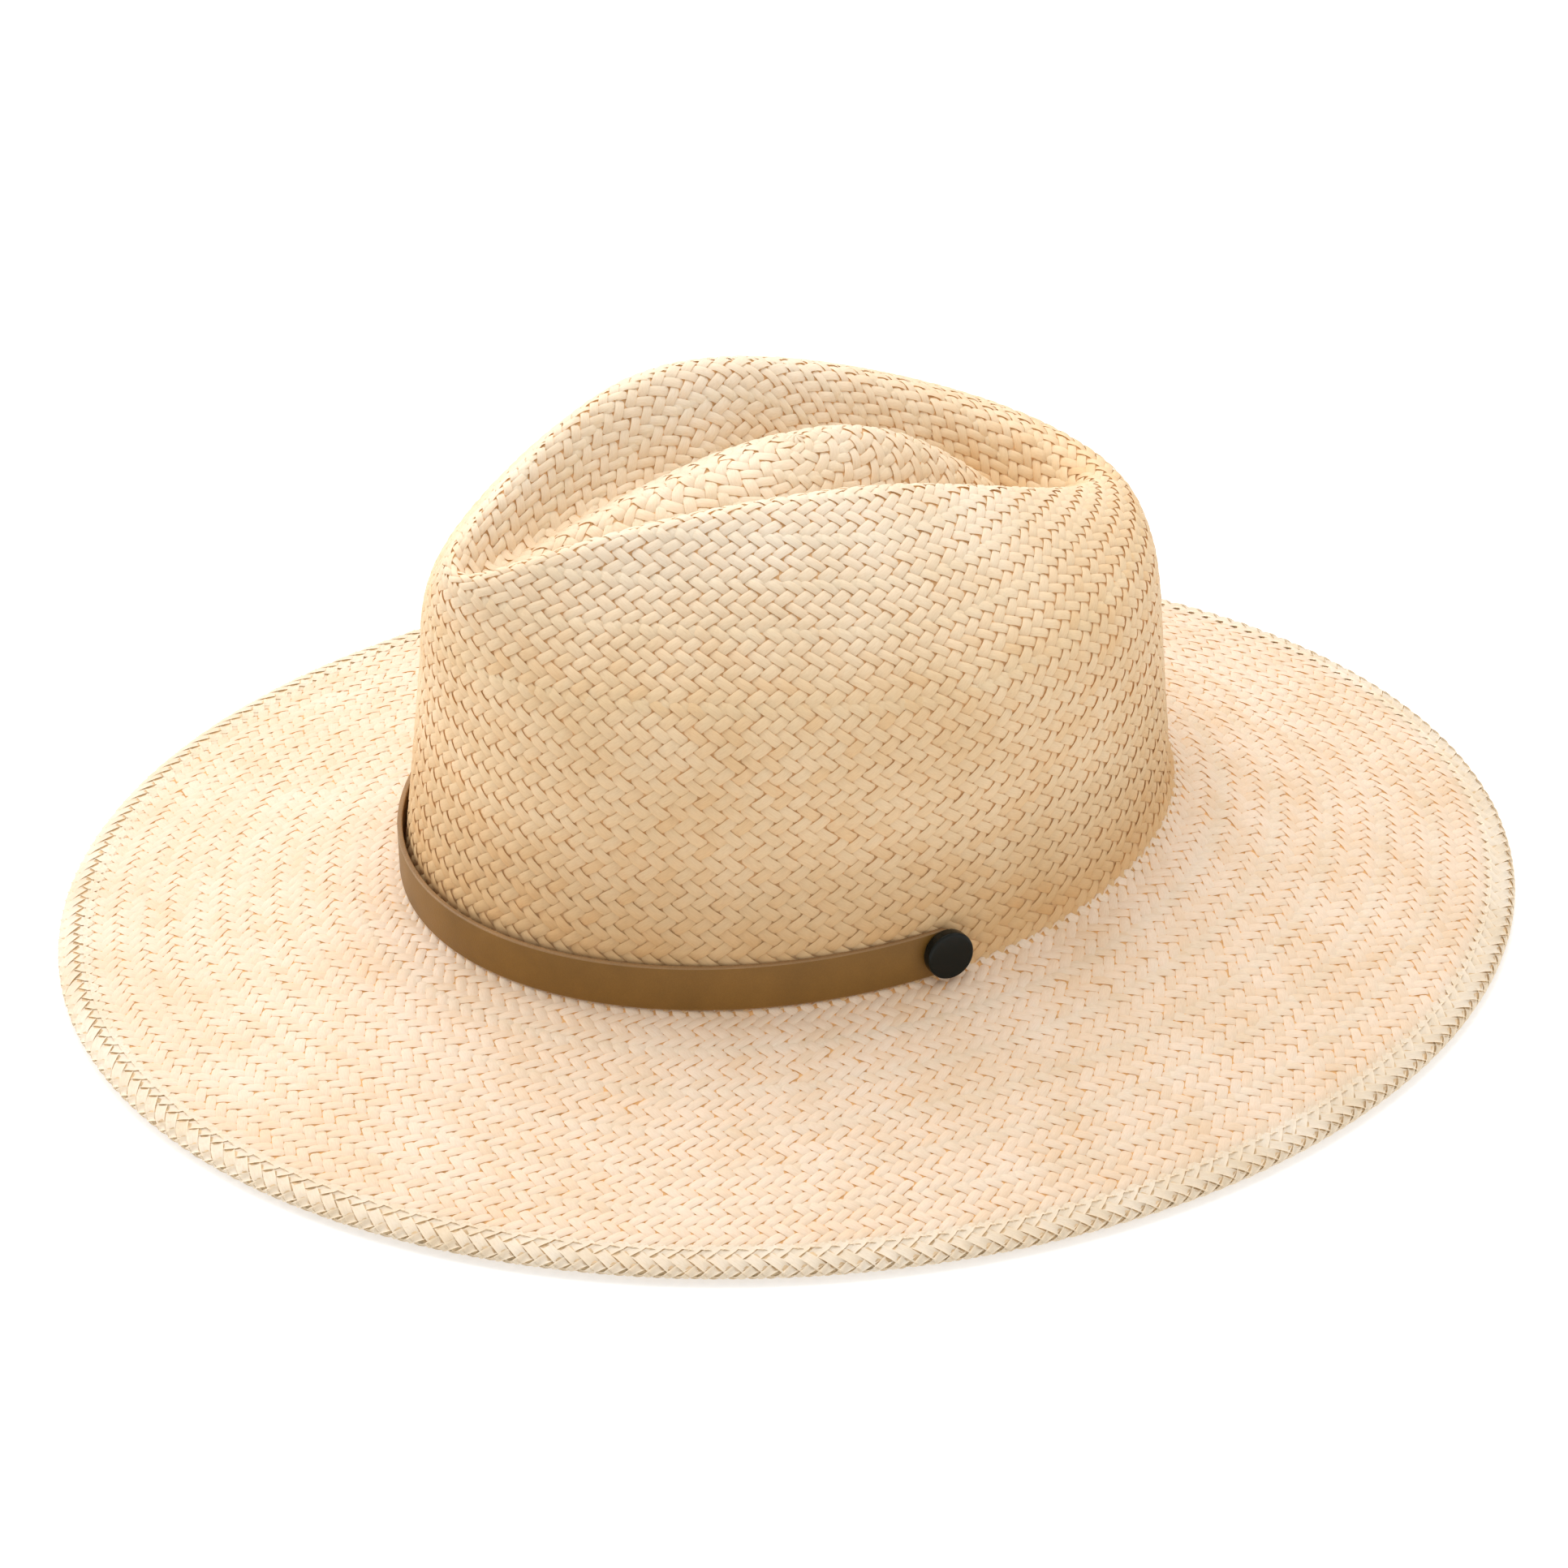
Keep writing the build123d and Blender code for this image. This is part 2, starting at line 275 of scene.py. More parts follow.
# ---- meshes ---------------------------------------------------------------------------------
def mesh_object(name, vertices, faces, material, body="hat"):
    """A new piece from points in millimetres, riding on a body."""
    mesh = bpy.data.meshes.new(name)
    vertices = np.asarray(vertices, float).reshape(-1, 3) * MM
    faces = np.asarray(faces).reshape(-1, np.asarray(faces).shape[-1])
    mesh.vertices.add(len(vertices))
    mesh.vertices.foreach_set("co", vertices.ravel())
    mesh.loops.add(faces.size)
    mesh.loops.foreach_set("vertex_index", faces.ravel())
    mesh.polygons.add(len(faces))
    corner_count = faces.shape[1]
    mesh.polygons.foreach_set("loop_start", np.arange(len(faces)) * corner_count)
    mesh.update(calc_edges=True)
    mesh.validate()
    mesh.polygons.foreach_set("use_smooth", np.full(len(mesh.polygons), True))
    piece = bpy.data.objects.new(name, mesh)
    bpy.context.scene.collection.objects.link(piece)
    for one in (material if isinstance(material, list) else [material]):
        mesh.materials.append(one)
    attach(piece, body)
    return piece


def grid_faces(rows, columns, closed_rows=False, closed_columns=False):
    """The quads of a grid of points, numbered row by row."""
    i = np.arange(rows if closed_rows else rows - 1)[:, None]
    j = np.arange(columns if closed_columns else columns - 1)[None]
    i1, j1 = (i + 1) % rows, (j + 1) % columns
    return np.stack([i * columns + j, i1 * columns + j, i1 * columns + j1, i * columns + j1],
                    -1).reshape(-1, 4)


lanes = np.array([-1.0, -0.55, 0.55, 1.0])  # points across a straw, in half widths
sag = np.array([0.27, 0.04, 0.04, 0.27])  # and how far each lies below the straw's crest
narrowest, widest = 0.5, 4.2
tuck, tuck_depth = 0.7, 0.25  # each straw's ends run on past its band, in rings, and dip
arch = 1.25  # how round a float is along its length


def strips(skin_part, bands, hand, amplitude, steps=3):
    """One hand of the plait: flat straws that climb round the hat one way, over two and under
    two. Each band of rings has its own number of straws. Returns, for each band, the straws'
    points and the rings they stand at."""
    total = bands[-1][1]
    blocks = []
    for first, last, count in bands:
        start, end = first - tuck, last + tuck
        rings = np.linspace(start, end, int(round((end - start) * steps)) + 1)
        straw = np.arange(count)[:, None]
        sway = random.normal(0, straw_sway, (count, 1)) + 0 * rings
        turn = TAU / count * (straw + hand * rings[None] / 2 + sway)
        share = np.clip(rings / total, 0, 1)[None] + 0 * turn
        point, normal, around, down = skin_part.read(turn, share)
        along = around * (hand * TAU / count / 2) + down / total
        pitch = np.linalg.norm(around, axis=-1) * TAU / count
        along /= np.maximum(np.linalg.norm(along, axis=-1, keepdims=True), 1e-9)
        sideways = np.cross(normal, along)
        per_turn = np.maximum(np.linalg.norm(around, axis=-1), 1e-9)
        slant = np.abs((sideways * around).sum(-1)) / per_turn
        width = np.clip(pitch * slant, narrowest, widest)
        width = width * random.normal(1, width_spread, (count, 1))
        swing = np.cos(math.pi * (rings - 0.5) / 2) * hand
        floats = np.floor((rings + 0.5) / 2).astype(int)
        floats -= floats[0]
        uneven = random.normal(0, float_spread, (count, floats[-1] + 1))[:, floats]
        height = (np.sin(arch * swing) / math.sin(arch) + uneven * np.abs(swing)) * amplitude
        fade = np.clip(np.minimum(rings - start, end - rings) / 0.5, 0, 1)
        height = height * fade - (1 - fade) * tuck_depth
        points = (point[:, :, None] + sideways[:, :, None] * (width[..., None] / 2 * lanes)[..., None]
                  + normal[:, :, None] * (height[..., None] - sag)[..., None])
        blocks.append((points, rings))
    return blocks


fibre_step = 7.3  # between one straw's stretch of fibres and the next one's


def straw_piece(name, skin_part, bands, hand, material, amplitude):
    """A piece made of all the straws of one hand in some bands.

    Each straw has a tone. The UVs named fibre run along and across it, a new stretch of fibres for
    each straw, and those named OFBake give each straw its own row of the baked picture."""
    vertices, faces, tones, fibres, places = [], [], [], [], []
    offset, row = 0, 0
    rows = sum(count for _, _, count in bands)
    for points, rings in strips(skin_part, bands, hand, amplitude):
        count, length, across = points.shape[:3]
        quads = grid_faces(length, across)
        starts = offset + np.arange(count)[:, None, None] * length * across
        faces.append((quads[None] + starts).reshape(-1, 4))
        vertices.append(points.reshape(-1, 3))
        tone = random.uniform(0, 1, (count, 1, 1)) + 0 * points[..., 0]
        tones.append(tone.ravel())
        travel = np.arange(length)[None, :, None] / (length - 1) + 0 * points[..., 0]
        lane = np.arange(across)[None, None] / (across - 1) + 0 * points[..., 0]
        strand = (row + np.arange(count))[:, None, None] + 0 * points[..., 0]
        fibre = np.stack([travel * (rings[-1] - rings[0]), lane + strand * fibre_step], -1)
        place = np.stack([0.01 + 0.98 * travel, (strand + 0.1 + 0.8 * lane) / rows], -1)
        fibres.append(fibre.reshape(-1, 2))
        places.append(place.reshape(-1, 2))
        offset += count * length * across
        row += count
    faces = np.concatenate(faces)
    piece = mesh_object(name, np.concatenate(vertices), faces, material)
    mesh = piece.data
    tone = mesh.attributes.new("tone", "FLOAT", "POINT")
    tone.data.foreach_set("value", np.concatenate(tones).astype(np.float32))
    corners = np.empty(len(mesh.loops), dtype=np.int64)
    mesh.loops.foreach_get("vertex_index", corners)
    for layer, coordinates in (("fibre", fibres), ("OFBake", places)):
        uv = mesh.uv_layers.new(name=layer)
        uv.data.foreach_set("uv", np.concatenate(coordinates)[corners].astype(np.float32).ravel())
    mesh.uv_layers["fibre"].active_render = True
    return piece


def sheet_piece(name, skin_part, material, rows, depth, turns=240):
    """A plain skin in the middle of the weave, seen only between the straws, where its colour is
    painted shade.
    """
    turn = np.linspace(0, TAU, turns, endpoint=False)[:, None] + np.zeros((1, rows))
    share = np.linspace(0, 1, rows)[None] + 0 * turn
    point, normal, _, _ = skin_part.read(turn, share)
    faces = grid_faces(turns, rows, closed_rows=True)
    return mesh_object(name, point - normal * depth, faces, material)


# ---- materials ------------------------------------------------------------------------------
class Shader:
    """A small helper that adds nodes to a new material."""

    def __init__(self, name, colour, roughness, **sockets):
        self.material = bpy.data.materials.new(name)
        self.material.use_nodes = True
        self.tree = self.material.node_tree
        self.surface = self.tree.nodes["Principled BSDF"]
        self.set(self.surface, {"Base Color": (*colour, 1), "Roughness": roughness, **sockets})

    def set(self, node, sockets):
        for key, value in sockets.items():
            if isinstance(value, bpy.types.NodeSocket):
                self.tree.links.new(value, node.inputs[key])
            else:
                node.inputs[key].default_value = value

    def add(self, kind, inputs=None, **settings):
        node = self.tree.nodes.new("ShaderNode" + kind)
        for key, value in settings.items():
            setattr(node, key, value)
        self.set(node, inputs or {})
        return node

    def noise(self, vector, scale, detail=3.0):
        return self.add("TexNoise", {"Vector": vector, "Scale": scale, "Detail": detail}).outputs[0]

    def ramp(self, factor, stops):
        node = self.add("ValToRGB", {"Fac": factor})
        elements = node.color_ramp.elements
        while len(elements) < len(stops):
            elements.new(0.5)
        for element, (position, colour) in zip(elements, stops):
            element.position = position
            element.color = (*colour, 1)
        return node.outputs[0]

    def mix(self, kind, factor, first, second):
        node = self.add("MixRGB", {"Fac": factor, "Color1": first, "Color2": second}, blend_type=kind)
        return node.outputs[0]

    def scaled(self, vector, scale):
        node = self.add("Mapping", {"Vector": vector, "Scale": scale})
        return node.outputs[0]

    def bump(self, height, strength, distance):
        node = self.add("Bump", {"Height": height, "Strength": strength, "Distance": distance})
        self.set(self.surface, {"Normal": node.outputs[0]})


def straw_material(name, dark, light, through, painted_top_light=None):
    """Flat straw: each strip has its own tone, with fine fibres along it and light through it.

    Given a top colour, the straw is darker and warmer low on the crown, fading out between two foot
    heights, a painted shade at the crown's foot, and then pales towards the top colour between two
    higher heights, a painted light on the crown's top."""
    shader = Shader(name, light, 0.52)
    uv = shader.add("UVMap", uv_map="fibre").outputs[0]
    tone = shader.add("Attribute", attribute_name="tone").outputs["Fac"]
    fibre = shader.noise(shader.scaled(uv, (0.9, 7.0, 1.0)), 2.0, 2.0)
    place = shader.add("TexCoord").outputs["Object"]
    patch = shader.noise(place, 45.0, 3.0)
    colour = shader.ramp(tone, [(0.0, dark), (0.45, light), (1.0, light)])
    streak = shader.ramp(fibre, [(0.30, (0.86, 0.80, 0.72)), (0.62, (1.0, 1.0, 1.0))])
    blotch = shader.ramp(patch, [(0.35, (0.93, 0.88, 0.80)), (0.65, (1.0, 1.0, 1.0))])
    # painted light: higher up the crown the straw pales towards the top colour
    if painted_top_light:
        height = shader.add("SeparateXYZ", {0: place}).outputs["Z"]
        share = shader.add("MapRange", {"Value": height, "From Min": top_light_low,
                                        "From Max": top_light_high}).outputs[0]
        colour = shader.mix("MIX", share, colour, (*painted_top_light, 1))
        # painted shade: low on the crown the straw is darker and warmer
        foot = shader.add("MapRange", {"Value": height, "From Min": foot_shade_low,
                                       "From Max": foot_shade_high}).outputs[0]
        painted_foot_shade = shader.mix("MULTIPLY", 1.0, colour, (0.83, 0.71, 0.56, 1))
        colour = shader.mix("MIX", foot, painted_foot_shade, colour)
    colour = shader.mix("MULTIPLY", 0.55, colour, streak)
    colour = shader.mix("MULTIPLY", 0.8, colour, blotch)
    shader.set(shader.surface, {"Base Color": colour, "Specular IOR Level": 0.35})
    shader.bump(fibre, 0.35, 0.0001)
    glow = shader.add("BsdfTranslucent", {"Color": (*through, 1)})
    both = shader.add("MixShader", {0: 0.30, 1: shader.surface.outputs[0], 2: glow.outputs[0]})
    output = shader.tree.nodes["Material Output"]
    shader.tree.links.new(both.outputs[0], output.inputs[0])
    return shader.material


def gap_shade_material(name, colour, through):
    """What shows between the straws: the straws beneath, coloured darker and warmer as painted shade,
    glowing warm.
    """
    shader = Shader(name, colour, 0.8)
    place = shader.add("TexCoord").outputs["Object"]
    patch = shader.noise(place, 380.0, 2.0)
    # painted shade, darker in patches
    darker = tuple(channel * 0.6 for channel in colour)
    shade = shader.ramp(patch, [(0.35, darker), (0.65, colour)])
    shader.set(shader.surface, {"Base Color": shade})
    shader.bump(patch, 0.3, 0.0002)
    glow = shader.add("BsdfTranslucent", {"Color": (*through, 1)})
    both = shader.add("MixShader", {0: 0.45, 1: shader.surface.outputs[0], 2: glow.outputs[0]})
    shader.tree.links.new(both.outputs[0], shader.tree.nodes["Material Output"].inputs[0])
    return shader.material


def leather_material(name, colour, grain_depth):
    """Smooth dyed leather with a fine pebble and a slow change of tone."""
    shader = Shader(name, colour, 0.5)
    place = shader.add("TexCoord").outputs["Object"]
    pebble = shader.add("TexVoronoi", {"Vector": place, "Scale": 1900.0}).outputs["Distance"]
    fine = shader.noise(place, 2600.0, 3.0)
    slow = shader.noise(place, 60.0, 3.0)
    darker = tuple(channel * 0.82 for channel in colour)
    lighter = tuple(min(1.0, channel * 1.12) for channel in colour)
    tone = shader.ramp(slow, [(0.3, darker), (0.7, lighter)])
    fleck = shader.ramp(fine, [(0.4, (0.9, 0.88, 0.86)), (0.6, (1, 1, 1))])
    shader.set(shader.surface, {"Base Color": shader.mix("MULTIPLY", 0.6, tone, fleck)})
    rough = shader.add("MapRange", {"Value": fine, "To Min": 0.36, "To Max": 0.50}).outputs[0]
    shader.set(shader.surface, {"Roughness": rough, "Specular IOR Level": 0.3})
    both = shader.add("Math", {0: pebble, 1: fine}, operation="ADD").outputs[0]
    shader.bump(both, grain_depth, 0.0001)
    return shader.material


def thread_material(name, colour):
    """Spun cotton thread."""
    shader = Shader(name, colour, 0.8)
    place = shader.add("TexCoord").outputs["Object"]
    twist = shader.noise(place, 1600.0, 3.0)
    darker = tuple(channel * 0.7 for channel in colour)
    shader.set(shader.surface, {"Base Color": shader.ramp(twist, [(0.35, darker), (0.65, colour)])})
    shader.bump(twist, 0.5, 0.0001)
    return shader.material


def ribbon_material(name, colour):
    """Ribbed cotton ribbon: fine ribs across it, their grooves darkened with painted shade."""
    shader = Shader(name, colour, 0.85)
    uv = shader.add("UVMap", uv_map="cloth").outputs[0]
    ribs = shader.add("TexWave", {"Vector": uv, "Scale": 1.0, "Distortion": 0.4, "Detail": 1.0,
                                  "Detail Scale": 4.0}, bands_direction="X").outputs["Fac"]
    place = shader.add("TexCoord").outputs["Object"]
    slow = shader.noise(place, 90.0, 3.0)
    darker = tuple(channel * 0.72 for channel in colour)
    shade = shader.ramp(ribs, [(0.15, darker), (0.6, colour)])
    patch = shader.ramp(slow, [(0.3, (0.9, 0.87, 0.82)), (0.7, (1, 1, 1))])
    shader.set(shader.surface, {"Base Color": shader.mix("MULTIPLY", 0.7, shade, patch)})
    shader.set(shader.surface, {"Sheen Weight": 0.3})
    shader.bump(ribs, 0.6, 0.0002)
    return shader.material


def enamel_material(name):
    """Glossy black enamel with faint wear in its gloss."""
    shader = Shader(name, (0.006, 0.007, 0.006), 0.14, **{"Specular IOR Level": 0.15})
    place = shader.add("TexCoord").outputs["Object"]
    rub = shader.noise(place, 90.0, 2.0)
    rough = shader.add("MapRange", {"Value": rub, "To Min": 0.08, "To Max": 0.22}).outputs[0]
    tint = shader.ramp(rub, [(0.3, (0.005, 0.006, 0.005)), (0.8, (0.008, 0.009, 0.007))])
    shader.set(shader.surface, {"Roughness": rough, "Base Color": tint})
    scuff = shader.noise(place, 900.0, 3.0)
    shader.bump(scuff, 0.03, 0.0001)
    return shader.material


def metal_material(name, colour):
    """Plain turned metal."""
    shader = Shader(name, colour, 0.32, Metallic=1.0)
    place = shader.add("TexCoord").outputs["Object"]
    scratch = shader.noise(place, 1500.0, 4.0)
    rough = shader.add("MapRange", {"Value": scratch, "To Min": 0.25, "To Max": 0.45}).outputs[0]
    tint = shader.ramp(scratch, [(0.3, tuple(channel * 0.85 for channel in colour)), (0.7, colour)])
    shader.set(shader.surface, {"Roughness": rough, "Base Color": tint})
    return shader.material


# Heights in metres for the crown's straw: between the first two its painted shade at the foot fades
# out, between the last two the painted light on its top comes in.
foot_shade_low, foot_shade_high, top_light_low, top_light_high = 0.038, 0.072, 0.110, 0.138
# The crown's straw is a darker, warmer copy of the brim's straw, a painted shade for the crown's
# sides; its last colour is the painted light on its top.
crown_straw_shaded = straw_material("crown_straw_shaded", (0.95, 0.73, 0.45), (0.98, 0.81, 0.55),
                             (1.0, 0.83, 0.58), (0.99, 0.91, 0.75))
brim_straw = straw_material("brim_straw", (0.94, 0.80, 0.62), (0.97, 0.86, 0.71), (0.98, 0.82, 0.60))
hem_straw = straw_material("hem_straw", (0.94, 0.84, 0.68), (0.97, 0.89, 0.76), (0.95, 0.82, 0.62))
# The sheets between the straws are darker and warmer than the straws: painted shade in the gaps.
crown_gap_shade = gap_shade_material("crown_gap_shade", (0.86, 0.62, 0.34), (1.0, 0.68, 0.34))
hem_gap_shade = gap_shade_material("hem_gap_shade", (0.90, 0.74, 0.50), (0.98, 0.76, 0.46))
brim_gap_shade = gap_shade_material("brim_gap_shade", (0.88, 0.60, 0.28), (1.0, 0.62, 0.28))
leather = leather_material("leather", (0.215, 0.104, 0.018), 0.2)
raw_edge = leather_material("leather_edge", (0.30, 0.17, 0.07), 0.8)
thread = thread_material("thread", (0.62, 0.45, 0.26))
ribbon = ribbon_material("sweatband_ribbon", (0.74, 0.62, 0.45))
enamel = enamel_material("black_enamel")
brass = metal_material("stud_brass", (0.62, 0.48, 0.25))
steel = metal_material("wire_steel", (0.55, 0.55, 0.55))

# ---- the straw body -------------------------------------------------------------------------
crown_skin, brim_skin, hem_skin = body_skins()

# between neighbouring straws of one hand, round the hat
crown_spacing, brim_spacing, hem_spacing = 4.8, 4.25, 4.7


def plan_bands(skin_part, lengths, spacing):
    """Rings and straw counts of bands, from the mean way round the hat at each band's middle."""
    total = sum(lengths)
    bands, first = [], 0
    for length in lengths:
        middle = (first + length / 2) / total
        turn = np.linspace(0, TAU, 360, endpoint=False)
        point = skin_part.read(turn, np.full(360, middle))[0]
        way = np.linalg.norm(point - np.roll(point, 1, 0), axis=-1).sum()
        bands.append((first, first + length, max(8, int(round(way / spacing / 2)) * 2)))
        first += length
    return bands


crown_bands = plan_bands(crown_skin, [4, 4, 8, 8, 8, 8, 8, 8, 8, 12, 48], crown_spacing)
brim_bands = plan_bands(brim_skin, [8, 8, 8, 8, 8, 8], brim_spacing)
hem_bands = plan_bands(hem_skin, [10], hem_spacing)

for name, skin_part, bands, material, amplitude, node, slot in (
        ("crown_weave", crown_skin, crown_bands, crown_straw_shaded, 0.60, "crown", "straw"),
        ("brim_weave", brim_skin, brim_bands, brim_straw, 0.40, "brim", "straw_brim"),
        ("hem_weave", hem_skin, hem_bands, hem_straw, 0.24, "brim_hem", "straw_hem")):
    for hand, side in ((1, "right"), (-1, "left")):
        weave = straw_piece(f"{name}_{side}_hand", skin_part, bands, hand, material, amplitude)
        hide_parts(node)

for name, skin_part, material, node, slot, rows in (
        ("crown_under_weave", crown_skin, crown_gap_shade, "crown", "straw", 200),
        ("brim_under_weave", brim_skin, brim_gap_shade, "brim", "straw_brim", 60),
        ("hem_under_weave", hem_skin, hem_gap_shade, "brim_hem", "straw_hem", 40)):
    gap_shade_sheet = sheet_piece(name, skin_part, material, rows=rows, depth=0.12)
    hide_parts(node)


# ---- stitches -------------------------------------------------------------------------------
def stitch_row(name, centres, directions, normals, length, radius, node):
    """Short rounded stitches, each a capsule lying along a seam, partly sunk into it."""
    sides, rings = 8, 7
    angle = np.linspace(-math.pi / 2, math.pi / 2, rings)
    around = np.linspace(0, TAU, sides, endpoint=False)
    reach = np.sign(np.sin(angle)) * (length / 2 - radius) * (np.abs(np.sin(angle)) > 0.3) \
        + radius * np.sin(angle)
    girth = radius * np.cos(angle) + 0.02
    lateral = np.cross(normals, directions)
    points = (centres[:, None, None] + directions[:, None, None] * reach[None, :, None, None]
              + lateral[:, None, None] * (girth[:, None] * np.cos(around))[None, ..., None]
              + normals[:, None, None] * (girth[:, None] * np.sin(around))[None, ..., None])
    quads = grid_faces(rings, sides, closed_columns=True)
    faces = (quads[None] + (np.arange(len(centres)) * rings * sides)[:, None, None]).reshape(-1, 4)
    piece = mesh_object(name, points.reshape(-1, 3), faces, thread)
    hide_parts(node)


def brim_seam(lift):
    """Centres, directions and normals of the stitches round the brim's hem."""
    way = TAU * math.sqrt(((brim_half - stitch_inset) ** 2).mean())
    count = int(way / stitch_pitch)
    turn = np.linspace(0, TAU, count, endpoint=False) + random.normal(0, 0.0012, count)
    point, normal, around, _ = hem_skin.read(turn, np.full(count, stitch_share))
    around = around / np.linalg.norm(around, axis=-1, keepdims=True)
    return point + normal * lift, around, normal


stitch_length, stitch_radius, stitch_lift = 2.7, 0.27, 0.38
centres, directions, normals = brim_seam(stitch_lift)
stitch_row("hem_stitches_top", centres, directions, normals, stitch_length, stitch_radius,
           "hem_stitching")

# ---- leather band ---------------------------------------------------------------------------
strap_past_post, strap_slope, corner_points = 5.0, 0.9, 5


def band_profile():
    """Outline of the strap's section: (outward, up) from its middle, with rounded edges."""
    half_thick, half_high, corner = band_thickness / 2, (band_high - band_low) / 2, 0.4
    outline = []
    for sign_out, sign_up, start in ((1, 1, 0), (-1, 1, 90), (-1, -1, 180), (1, -1, 270)):
        for angle in np.radians(start + np.linspace(0, 90, corner_points)):
            outline.append((sign_out * (half_thick - corner) + corner * math.cos(angle),
                            sign_up * (half_high - corner) + corner * math.sin(angle)))
    return np.array(outline)


def leather_band():
    """The strap, lying round the front from stud to stud, with rounded ends under the caps.

    It slopes in with the wall at the sides and stands upright in front, as pulled leather does."""
    half_high, half_length = (band_high - band_low) / 2, (head_back - head_front) / 2
    end_angle = (strap_past_post - stud_forward) / half_length
    turn = np.linspace(-math.pi - end_angle, end_angle, 330)
    outline = band_profile()
    from_end = np.minimum(turn - turn[0], turn[-1] - turn) * head_half_width
    shrink = np.sqrt(np.clip(1 - (1 - np.clip(from_end / half_high, 0, 1)) ** 2, 0.0009, 1))
    middle_height = (band_low + band_high) / 2
    up = outline[None, :, 1] * shrink[:, None]
    low = wall(turn, 0 * turn + band_low)
    high = wall(turn, 0 * turn + band_high)
    lean = (high - low) / (band_high - band_low)
    lean[:, :2] *= strap_slope * shares(turn)[0][:, None]
    tangent = np.gradient(low, axis=0)
    outward = np.stack([tangent[:, 1], -tangent[:, 0], 0 * turn], -1)
    outward /= np.linalg.norm(outward, axis=-1, keepdims=True)
    out = band_gap + band_thickness / 2 + outline[None, :, 0]
    base = low + lean * (middle_height - band_low)
    points = base[:, None] + outward[:, None] * out[..., None] + lean[:, None] * up[..., None]
    points = to_row(points)
    faces = grid_faces(len(turn), len(outline), closed_columns=True)
    piece = mesh_object("leather_band", points, faces, [leather, raw_edge])
    column = np.arange(len(faces)) % len(outline)
    broad = np.isin(column, (2 * corner_points - 1, 4 * corner_points - 1))
    piece.data.polygons.foreach_set("material_index", (~broad).astype(np.int32))
    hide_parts("hat_band")


leather_band()


# ---- studs ----------------------------------------------------------------------------------
def lathe(name, profile, origin, axis, material, body, sides=96):
    """A turned piece from (radius, height) points about an axis."""
    axis = axis / np.linalg.norm(axis)
    first = np.cross(axis, (0, 1, 0))
    first /= np.linalg.norm(first)
    second = np.cross(axis, first)
    angle = np.linspace(0, TAU, sides, endpoint=False)
    radius, height = np.array(profile).T
    spoke = first * np.cos(angle)[:, None] + second * np.sin(angle)[:, None]
    points = origin + axis * height[:, None, None] + radius[:, None, None] * spoke
    faces = grid_faces(len(profile), sides, closed_columns=True)
    return mesh_object(name, points, faces, material, body)


def cap_profile():
    """A flat-faced cap: straight side, small round at the rim, the face very slightly domed."""
    corner = 0.55
    points = [(0.01, cap_foot), (cap_radius - 0.5, cap_foot), (cap_radius - 0.05, cap_foot + 0.25)]
    points.append((cap_radius, cap_foot + 0.5))
    top = cap_foot + cap_thickness
    for angle in np.radians(np.linspace(0, 80, 8)):
        points.append((cap_radius - corner + corner * math.cos(angle),
                       top - 0.12 - corner + corner * math.sin(angle)))
    rim = points[-1][0]
    for share in np.linspace(0.96, 0.002, 12):
        points.append((rim * share, top - 0.10 * share**2))
    return points


for side, name in ((1, "left"), (-1, "right")):
    facing = wall(np.array([0.0 if side > 0 else math.pi]), np.array([stud_height]))[0]
    facing[1] -= stud_forward
    origin = to_row(facing)
    axis = to_row(facing + np.array([side, 0, lean_side])) - origin
    cap = lathe(f"cap_{name}", cap_profile(), origin, axis, enamel, f"stud_{name}")
    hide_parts(f"stud_cap_{name}")

for node, material in (("stud_post_left", brass), ("stud_post_right", brass),
                       ("stud_washer_left", brass), ("stud_washer_right", brass),
                       ("brim_wire", steel)):
    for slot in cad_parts[node].material_slots:
        slot.material = material


# ---- sweatband ------------------------------------------------------------------------------
def cloth_uv(piece, columns, rows, across, along):
    """UVs in ribs and millimetres for a piece made of grids whose points run row by row."""
    mesh = piece.data
    uv = mesh.uv_layers.new(name="cloth")
    corners = np.empty(len(mesh.loops), dtype=np.int64)
    mesh.loops.foreach_get("vertex_index", corners)
    place = corners % (rows * columns)
    i, j = place // columns, place % columns
    places = np.stack([i / rows * along, j / columns * across], -1)
    uv.data.foreach_set("uv", places.astype(np.float32).ravel())


sweat_length, rib_pitch = 570.0, 1.1  # these only space the ribs


